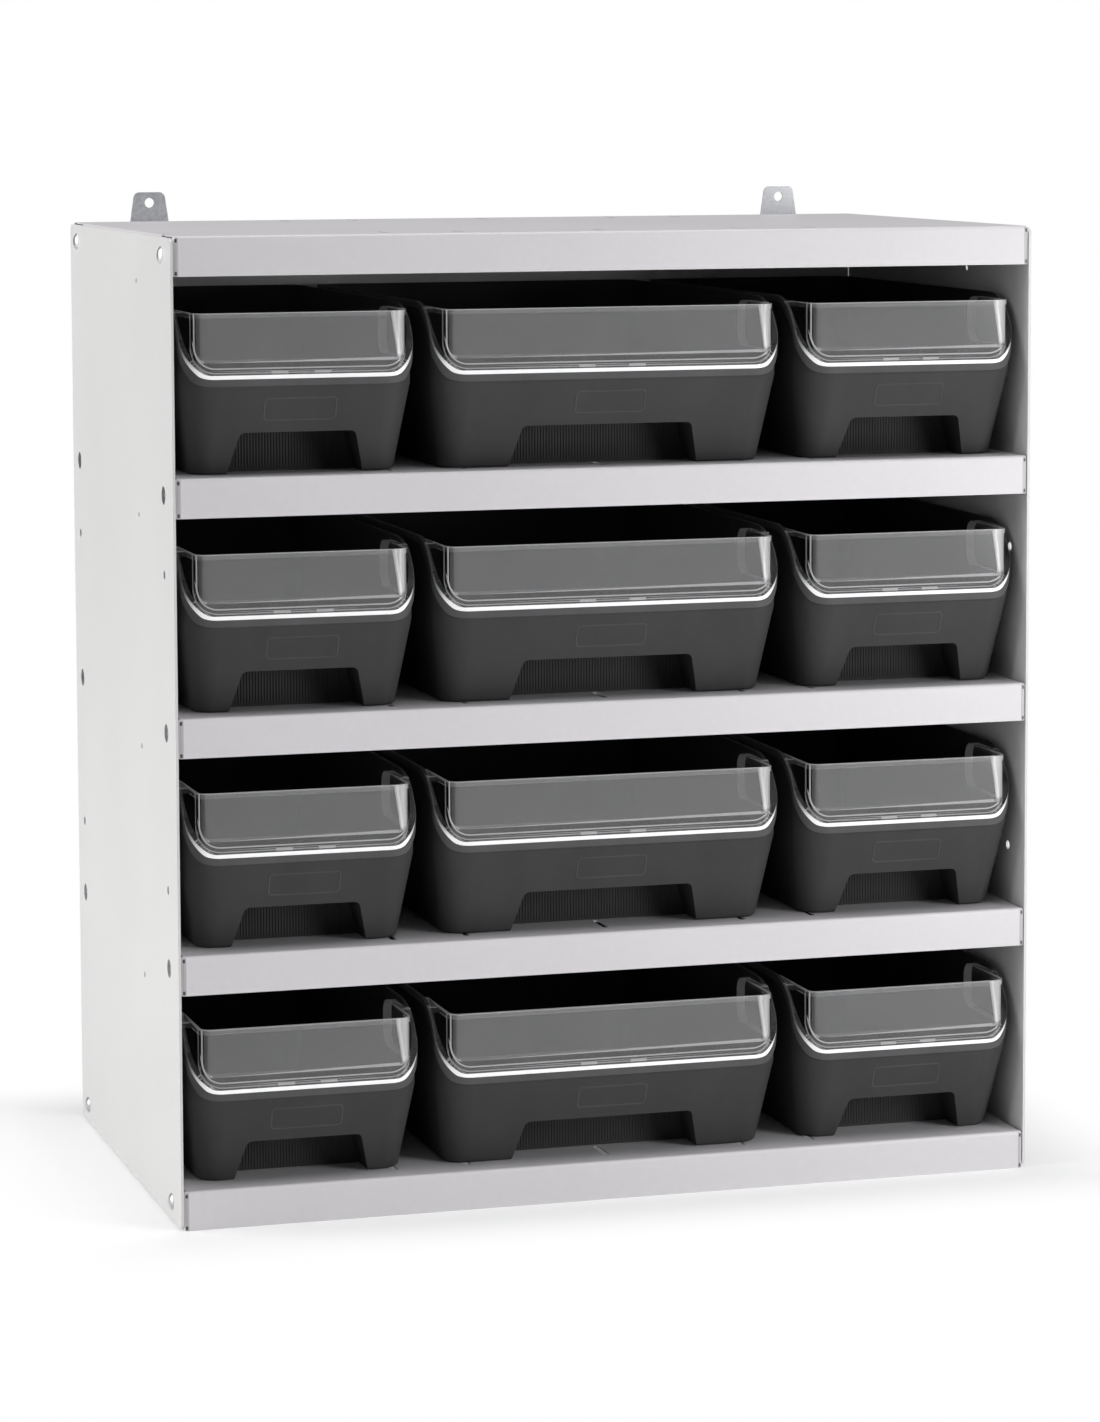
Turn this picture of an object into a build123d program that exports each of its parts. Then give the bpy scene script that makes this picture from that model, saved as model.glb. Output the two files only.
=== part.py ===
from build123d import *
import os

os.makedirs("parts", exist_ok=True)

# Rack of sheet steel with four rows of pull-out bins, in millimetres
# X runs to the right, Y to the back, Z up; the origin is on the floor under the middle

# Overall sizes
height = 750.0
width = 685.0
depth = 408.0
rows = 4

# Sheet thicknesses and folds
side_t = 2.0
shelf_t = 1.2
back_t = 1.0
tab_t = 2.0
lip_h = 30.0
hem_w = 11.0
fold_r = 2.4
corner_r = 3.0
side_inset = 1.5
side_corner_r = 6.0
relief_l = 40.0
relief_w = 2.6

# Slots in every shelf, for dividers and bin stops
slot_l = 30.0
slot_w = 5.0
slot_inset = 35.0
slot_near_x = 112.0
slot_far_x = 170.0

# Holes and fasteners in the side panels
front_col = 35.0
back_col = 27.5
screw_r = 3.0
screw_gap = 0.2
dome_r = 6.5
dome_h = 2.6
nut_af = 10.0
nut_h = 5.0
clinch_r = 7.0
clinch_gap = 0.05
clinch_recess = 0.4
clinch_bore_r = 2.5
hex_head_af = 8.0
hex_head_h = 3.5
join_r = 3.5
join_spread = 240.0
peg_r = 2.25
peg_y = 130.0
peg_drop = 37.5

# Hanging tabs at the back of the top
tab_inset = 66.5
tab_rise = 24.0
tab_base_w = 32.0
tab_top_w = 25.0
tab_foot = 27.0
tab_r = 5.0
tab_hole_r = 4.0
tab_hole_drop = 8.7
tab_rivet_dx = 8.0

# Rivets of the tabs and of the back panel
rivet_r = 2.0
rivet_gap = 0.05
rivet_head_r = 4.0
rivet_head_h = 1.0
back_rivet_inset = 117.5

# Bins: two narrow ones and a wide one in each row, 2 : 3 : 2
narrow_units = 2
wide_units = 3
bin_gap = 14.0
bin_lift = 0.3
bin_l = 396.0
bin_h = 126.0
wall = 2.0
floor_t = 2.6
base_side_in = 10.8
base_front_in = 26.7
base_back_in = 13.0
base_bevel = 1.6
knee_z = 67.0
knee_in = 0.8
tub_r_low = 16.0
tub_r_top = 27.0

# Rim line of a bin seen from the side: level at the front, then up over the shoulder
rim_z = 72.4
rim_front_in = 0.8
rim_flat = 2.0
rim_crest_y = 35.0
rim_bend_r = 7.0
rim_crest_r = 50.0
rim_r_low = 25.3
rim_r_top = 12.8
collar_h = 5.0

# Finger recess under the front of a bin
recess_h = 31.8
recess_draft = 8.4
recess_depth = 28.0
recess_r = 5.0
narrow_recess_w = 105.5
wide_recess_w = 151.5

# Clear window of a bin
window_top = 122.0
window_t = 1.8
window_gap = 0.2
window_side_in = 8.0
window_r = 9.0
window_seat = 3.0
leg_end = 86.0
leg_low = 86.0
leg_r = 12.0
flange_h = 2.5
flange_in = 0.4
foot_h = 8.0
foot_t = 1.4
foot_end = 15.0
bead_h = 3.5
bead_out = 0.8
bead_end = 50.0
clip_w = 13.0
clip_h = 6.0
clip_t = 1.4
narrow_clip_x = 16.5
wide_clip_x = 20.0

# Worked-out places
shelf_pitch = (height - lip_h) / rows
shelf_tops = [lip_h + shelf_pitch * row for row in range(rows + 1)]
cabinet_d = depth - tab_t
front_y = -depth / 2
cabinet_back_y = front_y + cabinet_d
inner_w = width - 2 * side_t
shelf_d = cabinet_d - back_t
side_h = height - 2 * side_inset
tab_x = width / 2 - tab_inset
back_rivet_x = width / 2 - back_rivet_inset
side_mid_y = front_y + cabinet_d / 2
side_cols = [front_y + front_col, cabinet_back_y - back_col]
unit = inner_w / (2 * narrow_units + wide_units)
far = 400.0


def save(piece, name):
    piece.part.label = name
    export_step(piece.part, f"parts/{name}.step")


def placed(shape, x, y, z):
    with BuildPart() as piece:
        with Locations((x, y, z)):
            add(shape)
    return piece


# Shelf: a tray of folded sheet with the open side down
def make_shelf():
    back_slot_y = shelf_d - slot_inset
    with BuildPart() as shelf:
        with Locations((0, shelf_d / 2, -lip_h / 2)):
            Box(inner_w, shelf_d, lip_h)
        fillet(shelf.edges().filter_by(Axis.Z), corner_r)
        fillet(shelf.faces().sort_by(Axis.Z)[-1].edges(), fold_r)
        offset(amount=-shelf_t, openings=shelf.faces().sort_by(Axis.Z)[0])
        # hems folded inwards along the foot of the front and back lips
        with Locations(
            (0, shelf_t + hem_w / 2 - 0.1, shelf_t / 2 - lip_h),
            (0, shelf_d - shelf_t - hem_w / 2 + 0.1, shelf_t / 2 - lip_h),
        ):
            Box(inner_w - 4 * corner_r, hem_w, shelf_t)
        # slots for dividers and stops
        with BuildSketch(Plane.XY):
            for slot_x in (-slot_far_x, -slot_near_x, 0, slot_near_x, slot_far_x):
                with Locations((slot_x, slot_inset), (slot_x, back_slot_y)):
                    SlotOverall(slot_l, slot_w, rotation=90)
        extrude(amount=-2 * shelf_t, mode=Mode.SUBTRACT)
        # reliefs of the sheet at the four corners
        for side in (-1, 1):
            for relief_y in (corner_r + relief_l / 2, shelf_d - corner_r - relief_l / 2):
                with Locations((side * (inner_w / 2 - relief_w / 2), relief_y, 0)):
                    Box(relief_w, relief_l, 2 * relief_w, mode=Mode.SUBTRACT)
        # screw holes through the end flanges
        with BuildSketch(Plane.YZ):
            with Locations((front_col, -lip_h / 2), (cabinet_d - back_col, -lip_h / 2)):
                Circle(screw_r + screw_gap)
        extrude(amount=inner_w, both=True, mode=Mode.SUBTRACT)
        # rivet holes through the back lip
        with BuildSketch(Plane.XZ.offset(-shelf_d - 1)):
            with Locations((-back_rivet_x, -lip_h / 2), (0, -lip_h / 2), (back_rivet_x, -lip_h / 2)):
                Circle(rivet_r + rivet_gap)
        extrude(amount=2 * shelf_t + 1, mode=Mode.SUBTRACT)
    return shelf


shelf = make_shelf()
tab_rivet_xs = [side * tab_x + dx for side in (-1, 1) for dx in (-tab_rivet_dx, tab_rivet_dx)]

shelf_names = ["shelf_bottom", "shelf_lower", "shelf_middle", "shelf_upper"]
for name, top_z in zip(shelf_names, shelf_tops):
    save(placed(shelf.part, 0, front_y, top_z), name)

with BuildPart() as top_panel:
    with Locations((0, front_y, height)):
        add(shelf.part)
    with BuildSketch(Plane.XZ.offset(-cabinet_back_y - 1)):
        with Locations(*[(x, height - lip_h / 2) for x in tab_rivet_xs]):
            Circle(rivet_r + rivet_gap)
    extrude(amount=2 * shelf_t + back_t + 1, mode=Mode.SUBTRACT)
save(top_panel, "top_panel")


# Side panel: a flat plate with the holes for the shelves and for joining two racks
def make_side_panel():
    with BuildPart() as panel:
        with BuildSketch(Plane.YZ):
            with Locations((side_mid_y, height / 2)):
                RectangleRounded(cabinet_d, side_h, side_corner_r)
            for y in side_cols:
                with Locations(*[(y, z - lip_h / 2) for z in (shelf_tops[0], shelf_tops[-1])]):
                    Circle(screw_r + screw_gap, mode=Mode.SUBTRACT)
                with Locations(*[(y, z - lip_h / 2) for z in shelf_tops[1:-1]]):
                    Circle(clinch_r, mode=Mode.SUBTRACT)
                with Locations(*[(y, height / 2 + s * join_spread / 2) for s in (-1, 1)]):
                    Circle(join_r, mode=Mode.SUBTRACT)
            with Locations(*[(front_y + peg_y, z - peg_drop) for z in shelf_tops[1:]]):
                Circle(peg_r, mode=Mode.SUBTRACT)
        extrude(amount=side_t)
    return panel


side_panel = make_side_panel()
save(placed(side_panel.part, -width / 2, 0, 0), "side_panel_left")
save(placed(side_panel.part, width / 2 - side_t, 0, 0), "side_panel_right")

# Back panel, riveted to the back lips of the shelves
with BuildPart() as back_panel:
    with BuildSketch(Plane.XZ.offset(-cabinet_back_y)):
        with Locations((0, height / 2)):
            RectangleRounded(inner_w - 1.0, side_h, corner_r)
        for z in shelf_tops:
            with Locations(*[(x, z - lip_h / 2) for x in (-back_rivet_x, 0, back_rivet_x)]):
                Circle(rivet_r + rivet_gap, mode=Mode.SUBTRACT)
        with Locations(*[(x, height - lip_h / 2) for x in tab_rivet_xs]):
            Circle(rivet_r + rivet_gap, mode=Mode.SUBTRACT)
    extrude(amount=back_t)
save(back_panel, "back_panel")


# Hanging tab: a trapezoid ear with rounded shoulders and one hole
def make_tab(x):
    with BuildPart() as tab:
        with BuildSketch(Plane.XZ.offset(-cabinet_back_y - tab_t)) as outline:
            with BuildLine():
                Polyline(
                    (x - tab_base_w / 2, height - tab_foot),
                    (x + tab_base_w / 2, height - tab_foot),
                    (x + tab_base_w / 2, height),
                    (x + tab_top_w / 2, height + tab_rise),
                    (x - tab_top_w / 2, height + tab_rise),
                    (x - tab_base_w / 2, height),
                    close=True,
                )
            make_face()
            fillet(outline.vertices().group_by(Axis.Y)[-1], tab_r)
            fillet(outline.vertices().group_by(Axis.Y)[0], tab_r / 2)
            with Locations((x, height + tab_rise - tab_hole_drop)):
                Circle(tab_hole_r, mode=Mode.SUBTRACT)
            with Locations(*[(x + dx, height - lip_h / 2) for dx in (-tab_rivet_dx, tab_rivet_dx)]):
                Circle(rivet_r + rivet_gap, mode=Mode.SUBTRACT)
        extrude(amount=tab_t)
    return tab


save(make_tab(-tab_x), "hanging_tab_left")
save(make_tab(tab_x), "hanging_tab_right")

# Rivets of the tabs: domed head inside the top panel, set flush behind
inside_back_y = cabinet_back_y - back_t - shelf_t
with BuildPart() as tab_rivets:
    with BuildSketch(Plane.XZ.offset(-inside_back_y)):
        with Locations(*[(x, height - lip_h / 2) for x in tab_rivet_xs]):
            Circle(rivet_r)
    extrude(amount=-(shelf_t + back_t + tab_t))
    with BuildSketch(Plane.XZ.offset(-inside_back_y)):
        with Locations(*[(x, height - lip_h / 2) for x in tab_rivet_xs]):
            Circle(rivet_head_r)
    extrude(amount=rivet_head_h, taper=35)
save(tab_rivets, "tab_rivets")

# Rivets of the back panel: domed head behind, tail inside the shelves
back_rivet_places = [
    (x, z - lip_h / 2) for z in shelf_tops for x in (-back_rivet_x, 0, back_rivet_x)
]
with BuildPart() as back_rivets:
    with BuildSketch(Plane.XZ.offset(-cabinet_back_y)):
        with Locations(*back_rivet_places):
            Circle(rivet_r)
    extrude(amount=back_t + 2 * shelf_t)
    with BuildSketch(Plane.XZ.offset(-cabinet_back_y)):
        with Locations(*back_rivet_places):
            Circle(rivet_head_r)
    extrude(amount=-rivet_head_h, taper=35)
save(back_rivets, "back_rivets")


# Dome-head screw with its tip inside the shelf, along +X from the head
def make_dome_screw():
    reach = side_t + shelf_t + nut_h + 1.0
    with BuildPart() as screw:
        with BuildSketch(Plane.XY):
            with BuildLine():
                ThreePointArc(
                    (-dome_h, 0), (-0.8 * dome_h, 0.62 * dome_r), (-0.15 * dome_h, dome_r)
                )
                Polyline(
                    (-0.15 * dome_h, dome_r),
                    (0, dome_r),
                    (0, screw_r),
                    (reach, screw_r),
                    (reach, 0),
                    (-dome_h, 0),
                )
            make_face()
        revolve(axis=Axis.X)
    return screw


# Nut on the inside of the shelf's end flange
def make_nut():
    with BuildPart() as nut:
        with BuildSketch(Plane.YZ):
            RegularPolygon(nut_af / 2, 6, major_radius=False)
            Circle(screw_r + screw_gap, mode=Mode.SUBTRACT)
        extrude(amount=nut_h)
    return nut


# Clinch nut pressed into the side panel, almost flush with its outside
def make_clinch_nut():
    with BuildPart() as clinch:
        with BuildSketch(Plane.YZ.offset(clinch_recess)):
            Circle(clinch_r - clinch_gap)
            Circle(clinch_bore_r, mode=Mode.SUBTRACT)
        extrude(amount=side_t - clinch_recess)
    return clinch


# Hexagon screw that holds a middle shelf to the clinch nut from inside
def make_inner_screw():
    shank = shelf_t + side_t - clinch_recess - 0.3
    with BuildPart() as screw:
        with BuildSketch(Plane.YZ):
            RegularPolygon(hex_head_af / 2, 6, major_radius=False)
        extrude(amount=hex_head_h)
        with BuildSketch(Plane.YZ):
            Circle(clinch_bore_r - clinch_gap)
        extrude(amount=-shank)
    return screw


outer_places = [(y, z - lip_h / 2) for y in side_cols for z in (shelf_tops[0], shelf_tops[-1])]
middle_places = [(y, z - lip_h / 2) for y in side_cols for z in shelf_tops[1:-1]]


# One group of like fasteners on one side; the pattern points to +X, so the right side is turned
def fastener_group(shape, places, x, side):
    turn = 0 if side < 0 else 180
    with BuildPart() as group:
        for y, z in places:
            with Locations(Location((side * x, y, z), (0, 0, turn))):
                add(shape)
    return group


dome_screw = make_dome_screw()
nut = make_nut()
clinch_nut = make_clinch_nut()
inner_screw = make_inner_screw()
for side, side_name in ((-1, "left"), (1, "right")):
    save(fastener_group(dome_screw.part, outer_places, width / 2, side), f"dome_screws_{side_name}")
    save(
        fastener_group(nut.part, outer_places, inner_w / 2 - shelf_t, side),
        f"screw_nuts_{side_name}",
    )
    save(fastener_group(clinch_nut.part, middle_places, width / 2, side), f"clinch_nuts_{side_name}")
    save(
        fastener_group(inner_screw.part, middle_places, inner_w / 2 - shelf_t, side),
        f"inner_screws_{side_name}",
    )


# Block with rounded corners that tapers out to the knee and then rises upright,
# grown outwards by a margin and with a bevel around its foot
def tub_block(half, low_z, grow, bevel=0):
    sections = [(low_z + bevel, grow), (knee_z, grow), (bin_h + 4, grow)]
    if bevel:
        sections.insert(0, (low_z, grow - bevel))
    with BuildPart() as block:
        for z, margin in sections:
            share = min(z / knee_z, 1.0)
            side_in = base_side_in + (knee_in - base_side_in) * share
            front = base_front_in + (rim_front_in - base_front_in) * share
            back = bin_l - base_back_in + (base_back_in - knee_in) * share
            radius = tub_r_low + (tub_r_top - tub_r_low) * share
            with BuildSketch(Plane.XY.offset(z)):
                with Locations((0, (front + back) / 2)):
                    RectangleRounded(
                        2 * (half - side_in + margin),
                        back - front + 2 * margin,
                        radius + margin,
                    )
        loft(ruled=True)
    return block


# Upright block of the rim, whose corners tighten towards the top
def rim_block(half, inset):
    tighten = (rim_r_top - rim_r_low) / (window_top - rim_z)
    with BuildPart() as block:
        for z in (rim_z - 4 * collar_h, bin_h + 6):
            radius = rim_r_low + tighten * (z - rim_z)
            with BuildSketch(Plane.XY.offset(z)):
                with Locations((0, bin_l / 2)):
                    RectangleRounded(2 * (half - inset), bin_l - 2 * inset, radius - inset)
        loft()
    return block


# Everything under the rim line, seen from the side; a drop moves the line inwards
def below_rim(drop):
    with BuildPart() as region:
        with BuildSketch(Plane.YZ.offset(-far)) as outline:
            with BuildLine():
                FilletPolyline(
                    (-far, rim_z),
                    (rim_flat, rim_z),
                    (rim_crest_y, bin_h),
                    (2 * far, bin_h),
                    radius=[rim_bend_r, rim_crest_r],
                )
                Polyline((2 * far, bin_h), (2 * far, -far), (-far, -far), (-far, rim_z))
            make_face()
            if drop:
                offset(amount=-drop, kind=Kind.INTERSECTION, mode=Mode.REPLACE)
        extrude(amount=2 * far)
    return region


under_rim = below_rim(0)
under_collar = below_rim(collar_h)
under_flange = below_rim(-flange_h)


# Finger recess, grown outwards by a margin for the wall behind it
def recess_block(recess_w, grow):
    with BuildPart() as block:
        with BuildSketch(Plane.XZ) as outline:
            with BuildLine():
                Polyline(
                    (-recess_w / 2 - grow, -2 * base_bevel),
                    (-recess_w / 2 - grow, 0),
                    (recess_draft - recess_w / 2 - grow, recess_h + grow),
                    (recess_w / 2 - recess_draft + grow, recess_h + grow),
                    (recess_w / 2 + grow, 0),
                    (recess_w / 2 + grow, -2 * base_bevel),
                    close=True,
                )
            make_face()
            fillet(outline.vertices().group_by(Axis.Y)[-1], recess_r + grow)
        extrude(amount=-(base_front_in + recess_depth + grow))
    return block


# Bin body: tapered tub, collar along the swept rim, floor that steps over the recess
def make_bin_body(half, recess_w):
    with BuildPart() as collar:
        add(rim_block(half, 0).part)
        add(under_collar.part, mode=Mode.SUBTRACT)
    with BuildPart() as inside:
        add(tub_block(half, floor_t, -wall).part)
        add(recess_block(recess_w, wall).part, mode=Mode.SUBTRACT)
    with BuildPart() as body:
        add(tub_block(half, 0, 0, base_bevel).part)
        add(collar.part)
        add(inside.part, mode=Mode.SUBTRACT)
        add(recess_block(recess_w, 0).part, mode=Mode.SUBTRACT)
        add(under_rim.part, mode=Mode.INTERSECT)
    return body


# Upright block with the window's outline, drawn in by an inset
def window_block(half, front_in, inset):
    with BuildPart() as block:
        with BuildSketch(Plane.XY):
            with Locations((0, bin_l / 2)):
                RectangleRounded(
                    2 * (half - window_side_in - inset),
                    bin_l - 2 * (front_in + inset),
                    window_r - inset,
                )
        extrude(amount=bin_h)
    return block


# Clear window: U-shaped in plan, with two legs inside the side walls, a flange on the rim,
# a thicker foot behind it, a bead on top and two clips
def make_window(half, clip_x):
    window_low = rim_z - window_seat
    front_in = rim_front_in + wall + window_gap
    middle = window_t / 2
    foot_in = window_t + foot_t
    with BuildPart() as wall_zone:
        add(under_rim.part)
        add(tub_block(half, floor_t, -wall - window_gap).part, mode=Mode.SUBTRACT)
    with BuildPart() as side_view:
        with BuildSketch(Plane.YZ.offset(-far)) as outline:
            with BuildLine():
                Polyline(
                    (-1, window_low),
                    (front_in + foot_in, window_low),
                    (foot_end, leg_low),
                    (leg_end, leg_low),
                    (leg_end, window_top),
                    (-1, window_top),
                    close=True,
                )
            make_face()
            fillet(outline.vertices().group_by(Axis.X)[-1], leg_r)
        extrude(amount=2 * far)
    with BuildPart() as flange:
        add(rim_block(half, flange_in).part)
        add(window_block(half, front_in, middle).part, mode=Mode.SUBTRACT)
        add(under_flange.part, mode=Mode.INTERSECT)
    with BuildPart() as bead:
        add(window_block(half, front_in, -bead_out).part)
        add(window_block(half, front_in, middle).part, mode=Mode.SUBTRACT)
        with Locations((0, 0, window_top - bead_h / 2)):
            Box(2 * far, 2 * bead_end, bead_h, mode=Mode.INTERSECT)
    with BuildPart() as foot:
        add(window_block(half, front_in, middle).part)
        add(window_block(half, front_in, foot_in).part, mode=Mode.SUBTRACT)
        with Locations((0, 0, foot_h)):
            add(under_rim.part, mode=Mode.INTERSECT)
        with Locations((0, foot_end / 2, window_top / 2)):
            Box(2 * far, foot_end, window_top, mode=Mode.INTERSECT)
    with BuildPart() as window:
        add(window_block(half, front_in, 0).part)
        add(window_block(half, front_in, window_t).part, mode=Mode.SUBTRACT)
        add(flange.part)
        add(bead.part)
        add(foot.part)
        with Locations(
            (-clip_x, front_in - clip_t / 2, rim_z + clip_h / 2),
            (clip_x, front_in - clip_t / 2, rim_z + clip_h / 2),
        ):
            Box(clip_w, clip_t, clip_h)
        add(side_view.part, mode=Mode.INTERSECT)
        add(wall_zone.part, mode=Mode.SUBTRACT)
    return window


half_narrow = narrow_units * unit / 2 - bin_gap / 2
half_wide = wide_units * unit / 2 - bin_gap / 2
bin_kinds = {
    "narrow": (make_bin_body(half_narrow, narrow_recess_w), make_window(half_narrow, narrow_clip_x)),
    "wide": (make_bin_body(half_wide, wide_recess_w), make_window(half_wide, wide_clip_x)),
}
narrow_x = (narrow_units + wide_units) * unit / 2
columns = [("left", -narrow_x, "narrow"), ("middle", 0, "wide"), ("right", narrow_x, "narrow")]
for row in range(rows):
    floor_z = shelf_tops[rows - 1 - row] + bin_lift
    for column, x, kind in columns:
        body, window = bin_kinds[kind]
        save(placed(body.part, x, front_y, floor_z), f"bin_{row + 1}_{column}")
        save(placed(window.part, x, front_y, floor_z), f"window_{row + 1}_{column}")
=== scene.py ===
"""Bin rack of painted sheet steel with clear-fronted bins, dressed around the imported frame."""

import math

import bmesh
import bpy
import numpy as np
from mathutils import Matrix, Vector


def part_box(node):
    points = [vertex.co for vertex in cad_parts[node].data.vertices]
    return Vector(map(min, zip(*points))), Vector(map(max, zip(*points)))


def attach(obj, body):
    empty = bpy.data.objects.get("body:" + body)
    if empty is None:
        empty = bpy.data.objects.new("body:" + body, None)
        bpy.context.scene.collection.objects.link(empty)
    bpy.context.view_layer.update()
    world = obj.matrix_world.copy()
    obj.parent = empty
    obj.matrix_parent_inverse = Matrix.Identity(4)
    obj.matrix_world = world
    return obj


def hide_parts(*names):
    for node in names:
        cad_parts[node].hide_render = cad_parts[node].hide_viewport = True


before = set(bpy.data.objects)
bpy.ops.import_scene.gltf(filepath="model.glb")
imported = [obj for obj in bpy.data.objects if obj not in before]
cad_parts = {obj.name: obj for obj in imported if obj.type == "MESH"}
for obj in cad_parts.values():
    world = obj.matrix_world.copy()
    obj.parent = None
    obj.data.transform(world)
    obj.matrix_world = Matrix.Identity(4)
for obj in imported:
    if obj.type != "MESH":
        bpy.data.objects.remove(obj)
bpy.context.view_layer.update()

bl_info = {
    "name": "Bin rack",
    "version": (1, 0, 0),
    "blender": (4, 5, 0),
    "location": "View3D > Sidebar > Bin rack",
    "description": "Finishes a steel rack with pull-out bins around its packed frame",
    "category": "Object",
}

MM = 0.001

# Places that the frame gives, in millimetres
FRONT_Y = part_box("side_panel_left")[0][1] / MM
ROWS = 4
COLUMNS = ("left", "middle", "right")
BINS = [(row, column) for row in range(1, ROWS + 1) for column in COLUMNS]

# Front lips of the shelves: their front, their end and their pitch in height, in metres, and how
# far the two notches of a lip's end, painted dark as shaded relief holes, are up that pitch,
# counted from NOTCH_PHASE below it
LIP_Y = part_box("shelf_middle")[0][1]
LIP_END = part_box("shelf_middle")[1][0]
SHELF_PITCH = 0.180
NOTCH_PHASE = 0.825
NOTCH_HIGH = 0.973
NOTCH_LOW = 0.838

# Rim of a bin, in millimetres above the bin's foot and behind the front plane
RIM_Z = 72.4
RIM_FLAT = 2.0
RIM_CREST_Y = 35.0
RIM_BEND_R = 7.0
RIM_CREST_R = 50.0
RIM_R_LOW = 25.3
RIM_R_TOP = 12.8
RIM_FRONT_IN = 0.8
COLLAR_H = 5.0
BIN_H = 126.0
BIN_L = 396.0

# Tub of a bin
BASE_SIDE_IN = 10.8
BASE_FRONT_IN = 26.7
BASE_BACK_IN = 13.0
KNEE_Z = 67.0
KNEE_IN = 0.8
TUB_R_LOW = 16.0
TUB_R_TOP = 27.0

# Finger recess under a bin's front
RECESS_H = 31.8
RECESS_DRAFT = 8.4
RECESS_DEPTH = 28.0
RECESS_W = {"left": 105.5, "middle": 151.5, "right": 105.5}

# Clear window
WINDOW_TOP = 122.0
WINDOW_FRONT_IN = 3.0
WINDOW_SIDE_IN = 8.0
WINDOW_R = 9.0
FLANGE_H = 2.5
FLANGE_IN = 0.4
BEAD_H = 3.5

# Studio: each lamp's place, target, width and height in metres and its power in watts, the
# light of the sky, the floor's reach in millimetres, and its glow under the rack to the camera
LAMPS = {
    "lamp_right": ((1.42, -1.68, 0.54), (0.0, -0.1, 0.36), (0.8, 1.05), 23.4),
    "lamp_left": ((-3.2, 0.3, 1.5), (-0.3, 0.0, 0.4), (2.9, 2.9), 84.0),
    "lamp_top": ((0.2, -0.25, 3.0), (0.0, 0.0, 0.4), (2.0, 2.0), 40.0),
}
SKY_COLOUR = (0.96, 0.97, 1.0, 1.0)
SKY_STRENGTH = 0.17
FLOOR_REACH = 6000.0
FLOOR_GLOW = 0.16

# Camera: place in metres, turns in degrees, and the focal length in heights of the picture
CAMERA_PLACE = (-1.00707, -3.44381, 0.85101)
CAMERA_AROUND = -16.4467
CAMERA_DOWN = 5.6758
CAMERA_ROLL = -0.2028
CAMERA_FOCAL = 4456.1 / 1422.0
CAMERA_SHIFT = -0.12

# Half sizes of the floor area that keeps its shadow for the camera, and the width of its
# fade, in metres
FLOOR_HALF_X = 0.34
FLOOR_HALF_Y = 0.20
FLOOR_FADE = 0.13

# Fine moulded lines on a window's front, painted as highlights: height, place across, corner
# radius and spacing
LINE_Z = 80.6
LINE_BEND = 8.6
LINE_R = 17.0
LINE_GAP = 3.3

# How much of a fading painted highlight on an edge of clear plastic still shows at its faint end
FAINT = 0.18


class RackSizes(bpy.types.PropertyGroup):
    """Sizes of the small mouldings that a user may change."""

    rib_pitch: bpy.props.FloatProperty(
        name="Grip rib pitch", description="Distance between two ribs of a grip, in mm",
        default=2.3, min=1.5, max=8.0)
    rib_rise: bpy.props.FloatProperty(
        name="Grip rib rise", description="How far a rib stands out of the grip wall, in mm",
        default=0.5, min=0.2, max=2.0)
    cove_height: bpy.props.FloatProperty(
        name="Cove height", description="Height of the cove under the collar, in mm",
        default=3.0, min=1.0, max=12.0)
    plate_width: bpy.props.FloatProperty(
        name="Plate width", description="Width of the moulded frame on a bin's front, in mm",
        default=55.0, min=20.0, max=70.0)
    plate_height: bpy.props.FloatProperty(
        name="Plate height", description="Height of the moulded frame on a bin's front, in mm",
        default=18.0, min=8.0, max=24.0)
    plate_rise: bpy.props.FloatProperty(
        name="Plate frame rise", description="How far the moulded frame stands out, in mm",
        default=0.45, min=0.1, max=1.0)


class RackColours(bpy.types.PropertyGroup):
    """Colours of the rack that a user may change."""

    paint: bpy.props.FloatVectorProperty(
        name="Paint", description="Powder coat of the sheet steel", subtype="COLOR",
        size=3, default=(0.72, 0.70, 0.72), min=0.0, max=1.0)
    plastic: bpy.props.FloatVectorProperty(
        name="Bin plastic", description="Dark plastic of the bins", subtype="COLOR",
        size=3, default=(0.041, 0.041, 0.042), min=0.0, max=1.0)
    clear: bpy.props.FloatVectorProperty(
        name="Window plastic", description="Clear plastic of the windows", subtype="COLOR",
        size=3, default=(0.70, 0.70, 0.71), min=0.0, max=1.0)
    floor: bpy.props.FloatVectorProperty(
        name="Floor", description="Pale floor", subtype="COLOR",
        size=3, default=(0.93, 0.93, 0.93), min=0.0, max=1.0)


class Field:
    """A number that varies over a surface. Arithmetic on it adds Math nodes to its finish."""

    def __init__(self, finish, socket):
        self.finish = finish
        self.socket = socket

    def _math(self, kind, *others):
        return Field(self.finish, self.finish.node(
            "ShaderNodeMath", {"operation": kind}, dict(enumerate((self, *others)))).outputs[0])

    def _swapped(self, kind, other):
        return Field(self.finish, self.finish.node(
            "ShaderNodeMath", {"operation": kind}, {0: other, 1: self}).outputs[0])

    def __add__(self, other):
        return self._math("ADD", other)

    def __radd__(self, other):
        return self._math("ADD", other)

    def __sub__(self, other):
        return self._math("SUBTRACT", other)

    def __rsub__(self, other):
        return self._swapped("SUBTRACT", other)

    def __mul__(self, other):
        return self._math("MULTIPLY", other)

    def __abs__(self):
        return self._math("ABSOLUTE")

    def least(self, other):
        return self._math("MINIMUM", other)

    def most(self, other):
        return self._math("MAXIMUM", other)

    def fraction(self):
        return self._math("FRACT")

    def root(self):
        return self._math("SQRT")

    def step(self, start, end):
        """Goes smoothly from 0 at start to 1 at end."""
        node = self.finish.node(
            "ShaderNodeMapRange", {"interpolation_type": "SMOOTHSTEP"},
            {"Value": self, "From Min": start, "From Max": end, "To Min": 0.0, "To Max": 1.0})
        return Field(self.finish, node.outputs[0])

    def line(self, width):
        """1 where the field is near 0, fading out over a width."""
        return abs(self).step(width, width * 0.5)


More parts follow.
